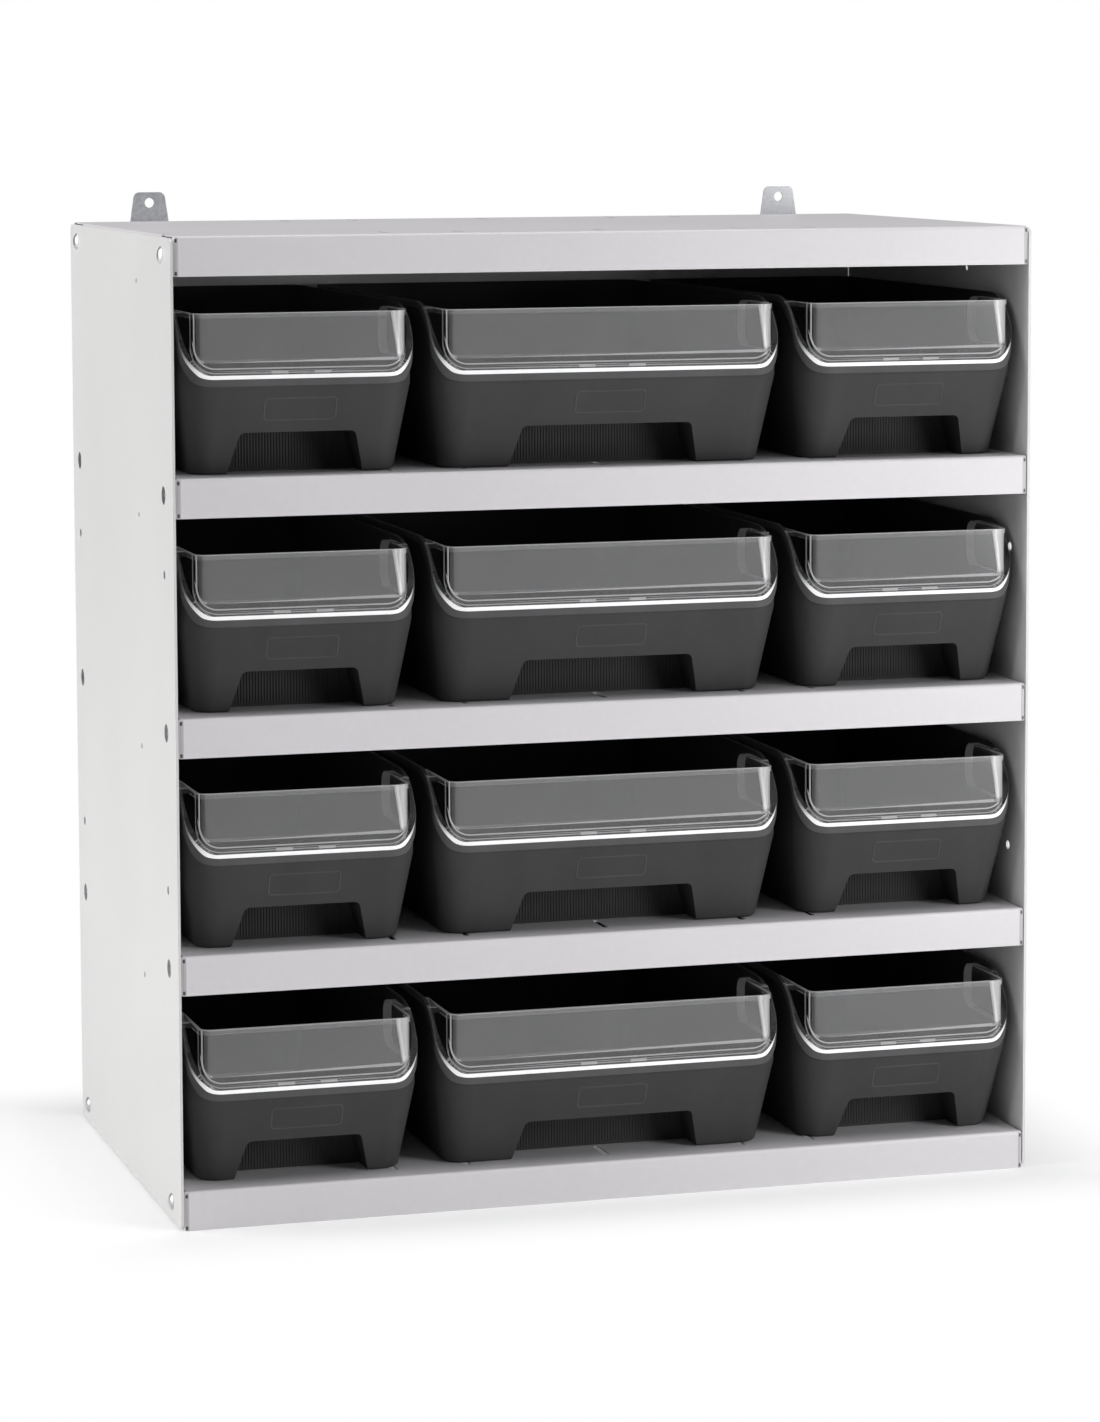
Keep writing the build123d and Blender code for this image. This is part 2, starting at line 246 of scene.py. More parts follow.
class Finish:
    """A material under construction, with one surface shader."""

    def __init__(self, name):
        self.material = bpy.data.materials.new(name)
        self.material.use_nodes = True
        self.tree = self.material.node_tree
        self.tree.nodes.clear()
        self.output = self.node("ShaderNodeOutputMaterial")
        self.shader = self.node("ShaderNodeBsdfPrincipled")
        self.tree.links.new(self.shader.outputs[0], self.output.inputs[0])
        self.place = self.node("ShaderNodeTexCoord").outputs["Object"]

    def node(self, kind, settings=None, sockets=None):
        """Adds a node: its settings first, then the values or links of its sockets."""
        node = self.tree.nodes.new(kind)
        for key, value in (settings or {}).items():
            setattr(node, key, value)
        for key, value in (sockets or {}).items():
            self.feed(node.inputs[key], value)
        return node

    def feed(self, socket, value):
        """Links a field or a socket, or writes a plain value."""
        if isinstance(value, Field):
            value = value.socket
        if isinstance(value, bpy.types.NodeSocket):
            self.tree.links.new(value, socket)
        else:
            socket.default_value = value

    def set(self, **values):
        """Feeds the surface shader's sockets, named with underscores for blanks."""
        for key, value in values.items():
            self.feed(self.shader.inputs[key.replace("_", " ")], value)

    def split(self, vector):
        """The three numbers of a vector, as fields."""
        node = self.node("ShaderNodeSeparateXYZ", {}, {0: vector})
        return [Field(self, out) for out in node.outputs]

    def own(self, name):
        """The three numbers that a mesh stores under a name."""
        node = self.node("ShaderNodeAttribute", {"attribute_name": name})
        return self.split(node.outputs["Vector"])

    def noise(self, size, detail=2.0, stretch=(1.0, 1.0, 1.0), rough=0.5):
        """Noise from 0 to 1 whose lumps are about size millimetres across."""
        moved = self.node("ShaderNodeMapping", {}, {
            "Vector": self.place, "Scale": tuple(1.0 / s for s in stretch)})
        node = self.node("ShaderNodeTexNoise", {}, {
            "Vector": moved.outputs[0], "Scale": 1.0 / (size * MM), "Detail": detail,
            "Roughness": rough})
        return Field(self, node.outputs[0])

    def cells(self, size):
        """Random tone of cells about size millimetres across."""
        node = self.node("ShaderNodeTexVoronoi", {}, {
            "Vector": self.place, "Scale": 1.0 / (size * MM)})
        grey = self.node("ShaderNodeSeparateColor", {}, {0: node.outputs["Color"]})
        return Field(self, grey.outputs[0])

    def mix(self, share, first, second):
        """Colour from first to second as share goes from 0 to 1."""
        node = self.node("ShaderNodeMix", {"data_type": "RGBA"}, {0: share})
        for socket, value in ((node.inputs[6], first), (node.inputs[7], second)):
            if isinstance(value, tuple) and len(value) == 3:
                value = (*value, 1.0)
            self.feed(socket, value)
        return node.outputs[2]

    def bump(self, height, depth, strength=1.0):
        """Surface normal from a height field, depth in millimetres."""
        node = self.node("ShaderNodeBump", {}, {
            "Height": height, "Distance": depth * MM, "Strength": strength})
        return node.outputs[0]


def tinted(colour, factor):
    """A colour made lighter or darker by a factor."""
    return tuple(min(1.0, channel * factor) for channel in colour)


def paint_finish(name, colour, folded=False):
    """Powder coat: fine orange peel, faint mottling and a slightly uneven gloss. A folded tray
    has painted shade at each end of its front lip: a darker tab for its bent return lying in
    shade, a fine near-black seam for the shaded gap to the side panel and two dark notches for
    shaded relief holes."""
    f = Finish(name)
    cloud = f.noise(160.0, 3.0)
    mottle = f.noise(6.0, 4.0)
    peel = f.noise(1.1, 2.0)
    share = (cloud * 0.6 + mottle * 0.4).step(0.3, 0.7)
    tone = f.mix(share, tinted(colour, 0.975), tinted(colour, 1.02))
    if folded:
        x, y, z = f.split(f.place)
        lip = y.step(LIP_Y + 0.7 * MM, LIP_Y + 0.3 * MM)
        # Painted shade at the lip's ends: a darker tab where the bent return lies in shade, a
        # near-black seam for the shaded gap and dark notches for shaded relief holes
        tab = (abs(x) - LIP_END).step(-4.2 * MM, -3.7 * MM) * lip
        seam_shade = (abs(x) - LIP_END).step(-0.9 * MM, -0.5 * MM) * lip
        rise = (z * (1.0 / SHELF_PITCH) + NOTCH_PHASE).fraction()
        notch_shade = (rise - NOTCH_HIGH).line(0.010).most((rise - NOTCH_LOW).line(0.010))
        notch_shade = notch_shade * (abs(x) - (LIP_END - 1.8 * MM)).line(1.8 * MM) * lip
        # The tab, the seam and the notches are darkened as painted shade
        tone = f.mix(tab, tone, tinted(colour, 0.68))
        tone = f.mix((seam_shade * 0.8).most(notch_shade), tone, tinted(colour, 0.06))
    f.set(
        Base_Color=tone,
        Roughness=0.34 + mottle * 0.12,
        Normal=f.bump(peel * 0.7 + mottle * 0.3, 0.06, 0.5),
    )
    return f.material


def galvanised_finish():
    """Hot-dip zinc: small overlapping spangles, fine drag lines and a dull gloss."""
    f = Finish("galvanised_sheet")
    spangle = f.cells(2.4)
    fine = f.cells(0.9)
    drag = f.noise(2.0, 3.0, (8.0, 1.0, 1.0))
    tone = (spangle * 0.45 + fine * 0.25 + drag * 0.3).step(0.05, 0.95)
    f.set(
        Base_Color=f.mix(tone, (0.44, 0.45, 0.47), (0.60, 0.61, 0.63)),
        Metallic=0.35,
        Roughness=0.36 + spangle * 0.14,
        Normal=f.bump(spangle * 0.5 + drag * 0.5, 0.03, 0.4),
    )
    return f.material


def zinc_finish(name, dark, light):
    """Zinc plate with a cloudy tone and a few duller spots."""
    f = Finish(name)
    spots = f.noise(0.9, 3.0)
    blush = f.noise(5.0, 2.0)
    f.set(
        Base_Color=f.mix(
            blush.step(0.35, 0.65), (dark, dark, dark * 1.02), (light, light, light)),
        Metallic=0.9,
        Roughness=0.22 + spots * 0.2,
        Normal=f.bump(spots, 0.03, 0.4),
    )
    return f.material


def plastic_finish(name, colour):
    """Moulded dark plastic: spark-eroded grain, faint flow marks and rubbed patches."""
    f = Finish(name)
    grain = f.noise(0.55, 3.0, rough=0.6)
    flow = f.noise(40.0, 4.0, (1.0, 1.0, 3.0))
    rub = f.noise(9.0, 5.0)
    share = (flow * 0.7 + rub * 0.3).step(0.3, 0.7)
    f.set(
        Base_Color=f.mix(share, tinted(colour, 0.9), tinted(colour, 1.1)),
        Roughness=0.56 + grain * 0.12 + rub * 0.06,
        Specular_IOR_Level=0.35,
        Normal=f.bump(grain, 0.05, 0.5),
    )
    return f.material


def sheet_finish(colour):
    """Clear sheet: a milky front inside two fine moulded lines painted as highlights, which run
    along the flange and up round the corners, a wedge painted as the highlight in the right
    corner, a painted highlight along the top edge and nearly clear legs. The lines lie at fixed
    distances from a rectangle with rounded lower corners, laid on the front and bent round with
    it."""
    f = Finish("clear_sheet")
    x, y, z = f.own("bin_place")
    half, _, _ = f.own("bin_half")
    bend = abs(x) - half + (WINDOW_SIDE_IN + WINDOW_R) + (y - WINDOW_FRONT_IN) * 0.3
    near = y.step(18.0, 16.0)
    across = bend - (LINE_BEND - LINE_R)
    down = (LINE_Z + LINE_R) - z
    across_out, down_out = across.most(0.0), down.most(0.0)
    reach = (across_out * across_out + down_out * down_out).root()
    away = reach + across.most(down).least(0.0) - LINE_R
    # The wedge is a painted highlight in the right corner only, and the lines' right upright is
    # left out there
    right_edge = x.step(0.0, 1.0) * z.step(LINE_Z + 3.0, LINE_Z + 10.0)
    line_highlights = (away.line(0.8) * (1.0 - right_edge)).most((away - LINE_GAP).line(0.7) * 0.8)
    climb = (z - LINE_Z) * (1.0 / (WINDOW_TOP - LINE_Z))
    left = 3.0 - climb * 6.0
    wedge_highlight = (bend.step(left - 0.7, left + 0.7) * bend.step(10.0, 7.0) * 0.68).most(
        (bend - (left + 1.2)).line(1.8) * 0.9)
    top_highlight = z.step(WINDOW_TOP - 1.0, WINDOW_TOP - 0.5) * 0.55
    # Painted highlights: the lines, the wedge and the top edge turn the sheet nearly white and
    # opaque
    bright = ((line_highlights * 0.8).most(wedge_highlight * right_edge) * near).most(top_highlight)
    front = y.step(WINDOW_FRONT_IN + 3.0, WINDOW_FRONT_IN + 2.2)
    bead = z.step(WINDOW_TOP - BEAD_H - 0.2, WINDOW_TOP - BEAD_H + 0.2)
    haze = f.noise(60.0, 3.0)
    milk = 0.004 + front * (0.130 + haze * 0.03) + bead * 0.06
    f.set(
        Base_Color=f.mix(bright, colour, (0.97, 0.97, 0.97)),
        Alpha=milk.most(bright * 0.62),
        Roughness=0.10 + haze * 0.06,
        IOR=1.49,
    )
    return f.material


def edge_finish(name, alpha, glow, low=None, high=None):
    """Edge of clear plastic painted as a highlight: a nearly white colour and a painted glow
    stand in for light that ran inside the sheet and comes out at its edge. It fades between a low
    and a high place above the bin's foot, where they are given."""
    f = Finish(name)
    streak = f.noise(12.0, 3.0)
    # Strength of the painted glow, streaked
    light = 0.8 + streak * 0.2
    if low is not None:
        share = f.own("bin_place")[2].step(high, low)
        alpha = share * (alpha - FAINT) + FAINT
        light = light * share
    f.set(
        Base_Color=f.mix(streak, (0.90, 0.90, 0.91), (0.98, 0.98, 0.98)),
        Alpha=alpha + streak * 0.1,
        Roughness=0.15 + streak * 0.1,
        Emission_Color=f.mix(light, (0.0, 0.0, 0.0), (1.0, 1.0, 1.0)),
        Emission_Strength=glow,
        Normal=f.bump(streak, 0.05, 0.2),
    )
    return f.material


def floor_finish(colour):
    """Seamless pale paper with a fine tooth: to the camera it glows a little near the rack and
    fades to plain white further out."""
    f = Finish("studio_floor")
    x, y, _ = f.split(f.place)
    tooth = f.noise(2.5, 3.0)
    f.set(
        Base_Color=f.mix(tooth.step(0.2, 0.8), tinted(colour, 0.99), tinted(colour, 1.01)),
        Roughness=0.9,
        Normal=f.bump(tooth, 0.02, 0.2),
    )
    seen = f.node("ShaderNodeLightPath").outputs["Is Camera Ray"]
    far = (abs(x) - FLOOR_HALF_X).most(abs(y) - FLOOR_HALF_Y).step(0.0, FLOOR_FADE)
    dim = f.node("ShaderNodeEmission", {}, {"Strength": FLOOR_GLOW})
    white = f.node("ShaderNodeEmission", {}, {"Strength": 1.0})
    near = f.node("ShaderNodeAddShader", {}, {0: f.shader.outputs[0], 1: dim.outputs[0]})
    faded = f.node("ShaderNodeMixShader", {}, {0: far, 1: near.outputs[0], 2: white.outputs[0]})
    choice = f.node(
        "ShaderNodeMixShader", {}, {0: seen, 1: f.shader.outputs[0], 2: faded.outputs[0]})
    f.feed(f.output.inputs[0], choice.outputs[0])
    return f.material


def bin_place(row, column):
    """Middle, front and foot of a bin in millimetres, and its half width, from its node's box."""
    low, high = (np.array(corner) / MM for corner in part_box(f"bin_{row}_{column}"))
    return np.array([(low[0] + high[0]) / 2, FRONT_Y, low[2]]), (high[0] - low[0]) / 2


def rim_curve(drop):
    """Points of the rim line, seen from the side and moved down square to itself by a drop: a
    level run, an arc that turns up, a straight rise, an arc that turns level, and the top."""
    run, rise = RIM_CREST_Y - RIM_FLAT, BIN_H - RIM_Z
    lean = math.atan2(rise, run)
    bend_y = RIM_FLAT - RIM_BEND_R * math.tan(lean / 2)
    crest_y = RIM_CREST_Y + RIM_CREST_R * math.tan(lean / 2)
    up = np.linspace(-math.pi / 2, lean - math.pi / 2, 12)
    over = np.linspace(math.pi / 2 + lean, math.pi / 2, 24)
    y = np.concatenate([
        bend_y + (RIM_BEND_R + drop) * np.cos(up),
        crest_y + (RIM_CREST_R - drop) * np.cos(over), [BIN_L]])
    z = np.concatenate([
        RIM_Z + RIM_BEND_R + (RIM_BEND_R + drop) * np.sin(up),
        BIN_H - RIM_CREST_R + (RIM_CREST_R - drop) * np.sin(over), [BIN_H - drop]])
    return y, z


def rounded_loop(half, front, back, radius, turns):
    """Rounded rectangle, counter-clockwise from the front's left end. turns counts quarter
    turns: on each it runs straight for the first half and round its corner for the second."""
    centre = (front + back) / 2
    reach_x, reach_y = half - radius, (back - front) / 2 - radius
    side = np.floor(turns).astype(int) % 4
    share = turns - np.floor(turns)
    straight = np.clip(2 * share, 0, 1)
    angle = np.clip(2 * share - 1, 0, 1) * math.pi / 2
    start = np.array([-1, 1, 1, -1])[side], np.array([-1, -1, 1, 1])[side]
    end = np.array([1, 1, -1, -1])[side], np.array([-1, 1, 1, -1])[side]
    turn = side * math.pi / 2 - math.pi / 2 + angle
    x = (start[0] + (end[0] - start[0]) * straight) * reach_x + radius * np.cos(turn)
    y = (start[1] + (end[1] - start[1]) * straight) * reach_y + radius * np.sin(turn)
    return x, y + centre


def rounded_distance(x, y, half, front, back, radius):
    """Distance of points outwards from a rounded rectangle; negative inside it."""
    across = np.abs(x) - (half - radius)
    along = np.abs(y - (front + back) / 2) - ((back - front) / 2 - radius)
    outside = np.hypot(np.maximum(across, 0), np.maximum(along, 0))
    return outside + np.minimum(np.maximum(across, along), 0) - radius


def loop_turns(per_side, per_corner):
    """Parameter values for rounded_loop, dense round the corners."""
    straight = np.linspace(0, 0.5, per_side, endpoint=False)
    corner = np.linspace(0.5, 1.0, per_corner, endpoint=False)
    quarter = np.concatenate([straight, corner])
    return np.concatenate([quarter + side for side in range(4)])


def rim_radius(z):
    """Plan radius of the collar's corners at a height: they tighten towards the top."""
    return RIM_R_LOW + (RIM_R_TOP - RIM_R_LOW) * (z - RIM_Z) / (WINDOW_TOP - RIM_Z)


def tub_front(z):
    """Depth of the tub's front wall at a height below the knee."""
    return BASE_FRONT_IN + (RIM_FRONT_IN - BASE_FRONT_IN) * np.minimum(z / KNEE_Z, 1.0)


def tub_outline(half, z, grow, turns):
    """Plan outline of the tub at a height: it widens up to the knee and then rises upright."""
    share = np.minimum(z / KNEE_Z, 1.0)
    side_in = BASE_SIDE_IN + (KNEE_IN - BASE_SIDE_IN) * share
    back = BIN_L - BASE_BACK_IN + (BASE_BACK_IN - KNEE_IN) * share
    radius = TUB_R_LOW + (TUB_R_TOP - TUB_R_LOW) * share
    return rounded_loop(
        half - side_in + grow, tub_front(z) - grow, back + grow, radius + grow, turns)


def grid_mesh(name, points, closed=False):
    """Mesh of a grid of points, rows by columns by three, in millimetres. Each cell is one
    four-sided face; where the rows are closed, each joins its last point to its first."""
    rows, columns = points.shape[:2]
    index = np.arange(rows * columns).reshape(rows, columns)
    if closed:
        index = np.hstack([index, index[:, :1]])
    faces = np.stack([index[:-1, :-1], index[:-1, 1:], index[1:, 1:], index[1:, :-1]], -1)
    mesh = bpy.data.meshes.new(name)
    mesh.from_pydata((points.reshape(-1, 3) * MM).tolist(), [], faces.reshape(-1, 4).tolist())
    mesh.polygons.foreach_set("use_smooth", np.ones(len(mesh.polygons), bool))
    mesh.update()
    return mesh


def add_piece(name, mesh, body, slot, *finishes):
    """Puts a mesh into the scene as a piece that rides on a body."""
    piece = bpy.data.objects.new(name, mesh)
    bpy.context.scene.collection.objects.link(piece)
    for finish in finishes:
        mesh.materials.append(finish)
    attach(piece, body)
    return piece


def dress(names, finish):
    """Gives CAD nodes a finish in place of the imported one."""
    for name in names:
        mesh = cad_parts[name].data
        mesh.materials.clear()
        mesh.materials.append(finish)


def smoothed(node, body, slot, *finishes, sharp=28.0):
    """Copy of a CAD node with its loose triangles merged and its curves shaded smooth."""
    build = bmesh.new()
    build.from_mesh(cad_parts[node].data)
    bmesh.ops.remove_doubles(build, verts=build.verts, dist=2e-6)
    limit = math.radians(sharp)
    for face in build.faces:
        face.smooth = True
    for edge in build.edges:
        edge.smooth = len(edge.link_faces) == 2 and edge.calc_face_angle(0.0) < limit
    mesh = bpy.data.meshes.new(f"{node}_skin")
    build.to_mesh(mesh)
    build.free()
    mesh.materials.clear()
    piece = add_piece(f"{node}_skin", mesh, body, slot, *finishes)
    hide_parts(node)
    return mesh


def face_fields(mesh, place):
    """Centres of a mesh's faces from a place, in millimetres, and their normals."""
    count = len(mesh.polygons)
    centres, normals = np.empty(count * 3), np.empty(count * 3)
    mesh.polygons.foreach_get("center", centres)
    mesh.polygons.foreach_get("normal", normals)
    return centres.reshape(-1, 3) / MM - place, normals.reshape(-1, 3)


def store(mesh, name, values):
    """Stores three numbers at each vertex of a mesh."""
    layer = mesh.attributes.new(name, "FLOAT_VECTOR", "POINT")
    layer.data.foreach_set("vector", np.ascontiguousarray(values, dtype=np.float32).ravel())


def cove_mesh(name, place, half, height):
    """Cove under the collar of a bin: a strip that follows the rim line a collar lower and
    sweeps in a quarter wave from the collar's foot back into the tub's wall."""
    turns = loop_turns(8, 14)
    rows = []
    for share in np.linspace(0.0, 1.0, 5):
        line_y, line_z = rim_curve(COLLAR_H - 0.1 + height * share)
        z = np.full_like(turns, 100.0)
        for _ in range(8):
            radius = rim_radius(z)
            x_out, y_out = rounded_loop(half - 0.1, 0.1, BIN_L - 0.1, radius, turns)
            z = np.interp(y_out, line_y, line_z)
        x_in, y_in = tub_outline(half, z, -0.3, turns)
        bend = math.sin(share * math.pi / 2)
        x, y = x_out + (x_in - x_out) * bend, y_out + (y_in - y_out) * bend
        rows.append(np.stack([x, y, z], -1))
    return grid_mesh(name, np.array(rows)[::-1] + place, closed=True)


def grip_mesh(name, place, width, pitch, rise):
    """Ribbed wall at the back of a finger recess: raised cosine ribs of one pitch across, which
    fade out at all four borders and sink a little into the wall between the ribs."""
    half = width / 2 - RECESS_DRAFT - 2.0
    x = np.linspace(-half, half, int(2 * half / pitch) * 8 + 1)
    z = np.linspace(1.5, RECESS_H - 1.0, 12)
    rib = 0.5 + 0.5 * np.cos(2 * math.pi * x / pitch)
    fade_x = np.clip((half - np.abs(x)) / pitch, 0, 1)
    fade_z = np.clip(np.minimum(z - z[0], z[-1] - z) / 2.0, 0, 1)
    relief = np.outer(fade_z, rib * fade_x) * (rise + 0.05) - 0.05
    grid_x, grid_z = np.meshgrid(x, z)
    grid_y = BASE_FRONT_IN + RECESS_DEPTH - relief
    return grid_mesh(name, np.stack([grid_x, grid_y, grid_z], -1) + place)


def plate_mesh(name, place, width, height, rise):
    """Moulded frame on a bin's sloping front: a half-round bead along a rounded rectangle that
    lies in the wall, midway between the recess and the collar."""
    turns = loop_turns(6, 8)
    middle_z = (RECESS_H + RIM_Z - COLLAR_H) / 2
    slope = math.atan2(BASE_FRONT_IN - RIM_FRONT_IN, KNEE_Z)
    up = np.array([0.0, -math.sin(slope), math.cos(slope)])
    out = np.array([0.0, -math.cos(slope), -math.sin(slope)])
    middle = place + np.array([0.0, tub_front(middle_z), middle_z])
    rows = []
    for share in np.linspace(-1.0, 1.0, 7):
        grow = 0.8 * share
        top = height / 2 + grow
        a, b = rounded_loop(width / 2 + grow, -top, top, 3.0 + grow, turns)
        lift = rise * math.sqrt(1 - share * share) - 0.05
        rows.append(middle + np.outer(a, [1.0, 0.0, 0.0]) + np.outer(b, up) + out * lift)
    return grid_mesh(name, np.array(rows)[::-1], closed=True)


class RACK_OT_stage(bpy.types.Operator):
    """Set up the floor, the lamps, the world and the camera"""

    bl_idname = "rack.stage"
    bl_label = "Studio"

    def execute(self, context):
        colours = context.scene.rack_colours
        line = np.linspace(-FLOOR_REACH, FLOOR_REACH, 25)
        grid_x, grid_y = np.meshgrid(line, line)
        mesh = grid_mesh("floor", np.stack([grid_x, grid_y, np.zeros_like(grid_x)], -1))
        floor = bpy.data.objects.new("floor", mesh)
        context.scene.collection.objects.link(floor)
        mesh.materials.append(floor_finish(tuple(colours.floor)))
        self.light_world(context.scene)
        for name, values in LAMPS.items():
            self.add_lamp(name, *values)
        self.add_camera(context.scene)
        return {"FINISHED"}

    def add_lamp(self, name, place, target, size, power):
        """A soft box that faces its target."""
        lamp = bpy.data.lights.new(name, "AREA")
        lamp.shape = "RECTANGLE"
        lamp.size, lamp.size_y = size
        lamp.energy = power
        holder = bpy.data.objects.new(name, lamp)
        holder.location = place
        aim = Vector(target) - Vector(place)
        holder.rotation_euler = aim.to_track_quat("-Z", "Y").to_euler()
        bpy.context.scene.collection.objects.link(holder)

    def light_world(self, scene):
        """White to the camera, much softer as light on the surfaces."""
        world = bpy.data.worlds.new("studio")
        scene.world = world
        world.use_nodes = True
        nodes, links = world.node_tree.nodes, world.node_tree.links
        nodes.clear()
        out = nodes.new("ShaderNodeOutputWorld")
        sky = nodes.new("ShaderNodeBackground")
        white = nodes.new("ShaderNodeBackground")
        choice = nodes.new("ShaderNodeMixShader")
        path = nodes.new("ShaderNodeLightPath")
        sky.inputs["Color"].default_value = SKY_COLOUR
        sky.inputs["Strength"].default_value = SKY_STRENGTH
        white.inputs["Strength"].default_value = 1.0
        white.inputs["Color"].default_value = (1.0, 1.0, 1.0, 1.0)
        links.new(path.outputs["Is Camera Ray"], choice.inputs[0])
        links.new(sky.outputs[0], choice.inputs[1])
        links.new(white.outputs[0], choice.inputs[2])
        links.new(choice.outputs[0], out.inputs[0])

    def add_camera(self, scene):
        """A long lens at the front left, a little above the rack's top, tipped down."""
        around, down, roll = map(math.radians, (CAMERA_AROUND, CAMERA_DOWN, CAMERA_ROLL))
        right = Vector((math.cos(around), math.sin(around), 0.0))
        ahead = Vector((-math.sin(around), math.cos(around), 0.0))
        forward = ahead * math.cos(down) - Vector((0, 0, 1)) * math.sin(down)
        up = right.cross(forward)
        side = right * math.cos(roll) + up * math.sin(roll)
        top = up * math.cos(roll) - right * math.sin(roll)
        lens = bpy.data.cameras.new("camera")
        lens.sensor_width = 36.0
        lens.lens = CAMERA_FOCAL * lens.sensor_width
        lens.shift_y = CAMERA_SHIFT
        camera = bpy.data.objects.new("camera", lens)
        turn = Matrix((side, top, -forward)).transposed().to_4x4()
        camera.matrix_world = Matrix.Translation(CAMERA_PLACE) @ turn
        scene.collection.objects.link(camera)
        scene.camera = camera
        scene.view_settings.view_transform = "Standard"


class RACK_OT_sheet_steel(bpy.types.Operator):
    """Paint the side panels, the shelves, the top and the back"""

    bl_idname = "rack.sheet_steel"
    bl_label = "Sheet steel"

    def execute(self, context):
        colour = tuple(context.scene.rack_colours.paint)
        shelves = paint_finish("shelf_paint", colour, folded=True)
        sides = paint_finish("side_paint", (colour[0] * 1.02, colour[1] * 1.04, colour[2]))
        for node in ("top_panel", "shelf_upper", "shelf_middle", "shelf_lower", "shelf_bottom"):
            smoothed(node, "rack", "light_grey_paint", shelves)
        dress(("side_panel_left", "side_panel_right", "back_panel"), sides)
        return {"FINISHED"}


class RACK_OT_hardware(bpy.types.Operator):
    """Finish the hanging tabs, the screws, the nuts and the rivets"""

    bl_idname = "rack.hardware"
    bl_label = "Hardware"

    def execute(self, context):
        bright = zinc_finish("bright_zinc", 0.55, 0.78)
        dull = zinc_finish("dull_zinc", 0.16, 0.26)
        galvanised = galvanised_finish()
        dress(("hanging_tab_left", "hanging_tab_right", "tab_rivets", "back_rivets"), galvanised)
        for side in ("left", "right"):
            dress([f"{part}_{side}" for part in ("screw_nuts", "inner_screws")], bright)
            dress([f"clinch_nuts_{side}"], dull)
            smoothed(f"dome_screws_{side}", "rack", "zinc_plate", bright, sharp=40.0)
        return {"FINISHED"}


class RACK_OT_bins(bpy.types.Operator):
    """Finish the bins and add their coves, grip ribs and moulded frames"""

    bl_idname = "rack.bins"
    bl_label = "Bins"

    def execute(self, context):
        sizes, colours = context.scene.rack_sizes, context.scene.rack_colours
        colour = tuple(colours.plastic)
        # Copies of the plastic: lighter ones for the collar and the moulded frame are painted
        # highlights, a darker one for inner faces, the recess and its grip wall is painted shade
        tub = plastic_finish("bin_plastic", colour)
        collar_highlight_plastic = plastic_finish("collar_plastic_painted_highlight", tinted(colour, 2.1))
        painted_shade_plastic = plastic_finish("inner_plastic_painted_shade", tinted(colour, 0.60))
        frame_highlight_plastic = plastic_finish("frame_plastic_painted_highlight", tinted(colour, 1.55))
        for row, column in BINS:
            name, key = f"bin_{row}_{column}", f"{row}_{column}"
            place, half = bin_place(row, column)
            mesh = smoothed(name, name, "dark_plastic", tub, collar_highlight_plastic, painted_shade_plastic)
            self.sort_faces(mesh, place, half, RECESS_W[column])
            cove = cove_mesh(f"cove_{key}", place, half, sizes.cove_height)
            add_piece(f"cove_{key}", cove, name, "dark_plastic", tub)
            grip = grip_mesh(
                f"grip_{key}", place, RECESS_W[column], sizes.rib_pitch, sizes.rib_rise)
            add_piece(f"grip_{key}", grip, name, "dark_plastic", painted_shade_plastic)
            plate = plate_mesh(
                f"plate_{key}", place, sizes.plate_width, sizes.plate_height,
                sizes.plate_rise)
            add_piece(f"plate_{key}", plate, name, "dark_plastic", frame_highlight_plastic)
        return {"FINISHED"}

    def sort_faces(self, mesh, place, half, recess_w):
        """Collar faces get the second finish, a lighter copy of the plastic painted as highlight,
        and inner faces and the recess the third, a darker copy painted as shade.
        """
        centres, normals = face_fields(mesh, place)
        x, y, z = centres.T
        rim = rounded_distance(x, y, half, 0.0, BIN_L, rim_radius(z)) > -0.4
        outward = normals[:, 0] * x + normals[:, 1] * (y - BIN_L / 2)
        inner = (outward < -1.0) & (z > 3.0)
        recess = (z < RECESS_H + 0.5) & (np.abs(x) < recess_w / 2 + 0.5)
        recess &= (y > tub_front(z) + 0.5) & (y < BASE_FRONT_IN + RECESS_DEPTH + 0.5)
        kind = np.where(inner | recess, 2, np.where(rim & (z > RIM_Z - 2 * COLLAR_H), 1, 0))
        mesh.polygons.foreach_set("material_index", kind.astype(np.int32))


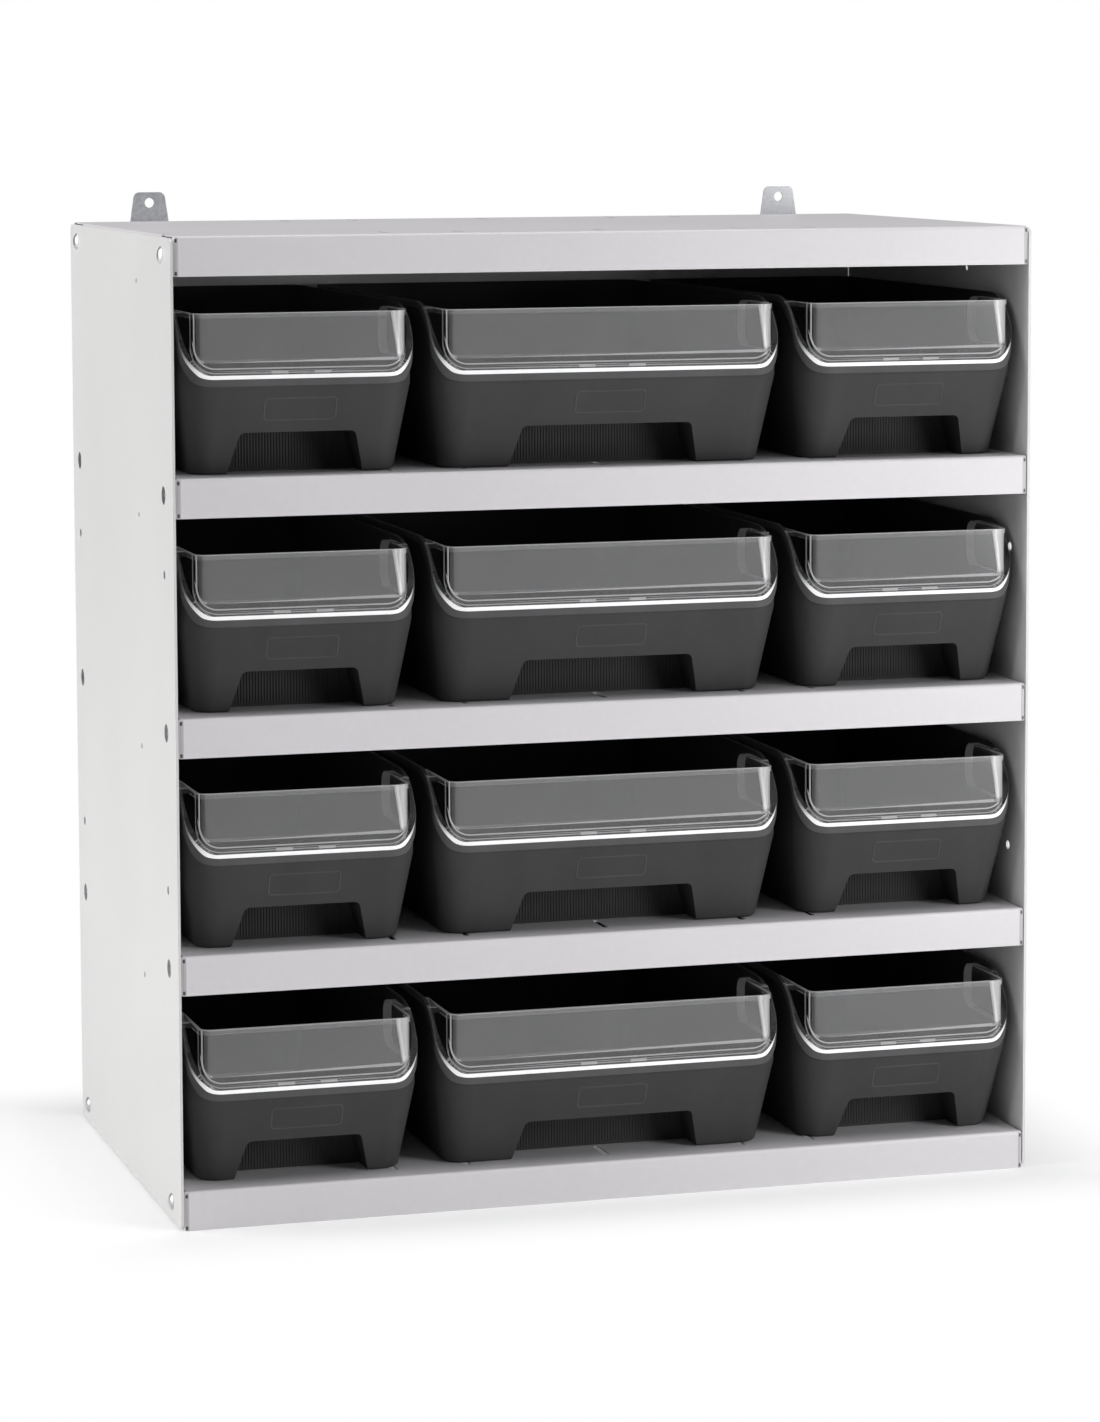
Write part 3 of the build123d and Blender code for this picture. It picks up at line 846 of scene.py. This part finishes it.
class RACK_OT_windows(bpy.types.Operator):
    """Finish the clear windows"""

    bl_idname = "rack.windows"
    bl_label = "Windows"

    def execute(self, context):
        sheet = sheet_finish(tuple(context.scene.rack_colours.clear))
        # The flange's edge and the cut edges and clips are painted as nearly white highlights
        # with a painted glow; the foot is left nearly clear
        flange = edge_finish("window_flange_highlight", 0.9, 0.30, RIM_Z + 4.0, RIM_Z + 24.0)
        edge = edge_finish("window_edge_highlight", 0.45, 0.02)
        foot = edge_finish("window_foot", 0.0, 0.0)
        for row, column in BINS:
            place, half = bin_place(row, column)
            mesh = smoothed(
                f"window_{row}_{column}", f"bin_{row}_{column}", "clear_plastic",
                sheet, flange, edge, foot)
            self.sort_faces(mesh, place, half)
            points = np.empty(len(mesh.vertices) * 3)
            mesh.vertices.foreach_get("co", points)
            points = points.reshape(-1, 3) / MM - place
            store(mesh, "bin_place", points)
            store(mesh, "bin_half", np.full_like(points, half))
        return {"FINISHED"}

    def sort_faces(self, mesh, place, half):
        """The flange's outer edge gets the second finish and cut edges and clips the third, both
        painted as highlights with a painted glow, and the thick foot behind the front the fourth."""
        centres, normals = face_fields(mesh, place)
        x, y, z = centres.T
        wall = rounded_distance(
            x, y, half - WINDOW_SIDE_IN, WINDOW_FRONT_IN, BIN_L - WINDOW_FRONT_IN, WINDOW_R)
        line_y, line_z = rim_curve(0.0)
        fine_y = np.linspace(0.0, 120.0, 600)
        fine_z = np.interp(fine_y, line_y, line_z)
        gap = np.hypot(y[:, None] - fine_y, z[:, None] - fine_z).min(1)
        flange = (wall > 0.15) & (gap < FLANGE_H + 0.3)
        rim = rounded_distance(x, y, half, 0.0, BIN_L, rim_radius(z)) > -FLANGE_IN - 0.3
        clip = (wall > 0.15) & (y < WINDOW_FRONT_IN) & (z < WINDOW_TOP - 2 * BEAD_H)
        cut = (np.abs(normals[:, 2]) > 0.25) | clip | (normals[:, 1] > 0.7) & (y > 40.0)
        foot = (y < 16.0) & (wall < -2.5) & (z < LINE_Z + 20.0)
        kind = np.where(flange, np.where(rim, 1, 0), np.where(foot, 3, np.where(cut, 2, 0)))
        mesh.polygons.foreach_set("material_index", kind.astype(np.int32))


class RACK_PT_panel(bpy.types.Panel):
    """Lists the steps that dress the rack"""

    bl_idname = "RACK_PT_panel"
    bl_label = "Bin rack"
    bl_space_type = "VIEW_3D"
    bl_region_type = "UI"
    bl_category = "Bin rack"

    def draw(self, context):
        layout = self.layout
        for group in (context.scene.rack_sizes, context.scene.rack_colours):
            for key in group.bl_rna.properties.keys():
                if key not in ("rna_type", "name"):
                    layout.prop(group, key)
        for step in STEPS:
            layout.operator(step.bl_idname)


STEPS = (RACK_OT_stage, RACK_OT_sheet_steel, RACK_OT_hardware, RACK_OT_bins, RACK_OT_windows)
CLASSES = (RackSizes, RackColours, *STEPS, RACK_PT_panel)


def register():
    for cls in CLASSES:
        bpy.utils.register_class(cls)
    bpy.types.Scene.rack_sizes = bpy.props.PointerProperty(type=RackSizes)
    bpy.types.Scene.rack_colours = bpy.props.PointerProperty(type=RackColours)


def unregister():
    del bpy.types.Scene.rack_sizes
    del bpy.types.Scene.rack_colours
    for cls in reversed(CLASSES):
        bpy.utils.unregister_class(cls)


def main():
    register()
    bpy.ops.rack.stage()
    bpy.ops.rack.sheet_steel()
    bpy.ops.rack.hardware()
    bpy.ops.rack.bins()
    bpy.ops.rack.windows()


if __name__ == "__main__":
    main()
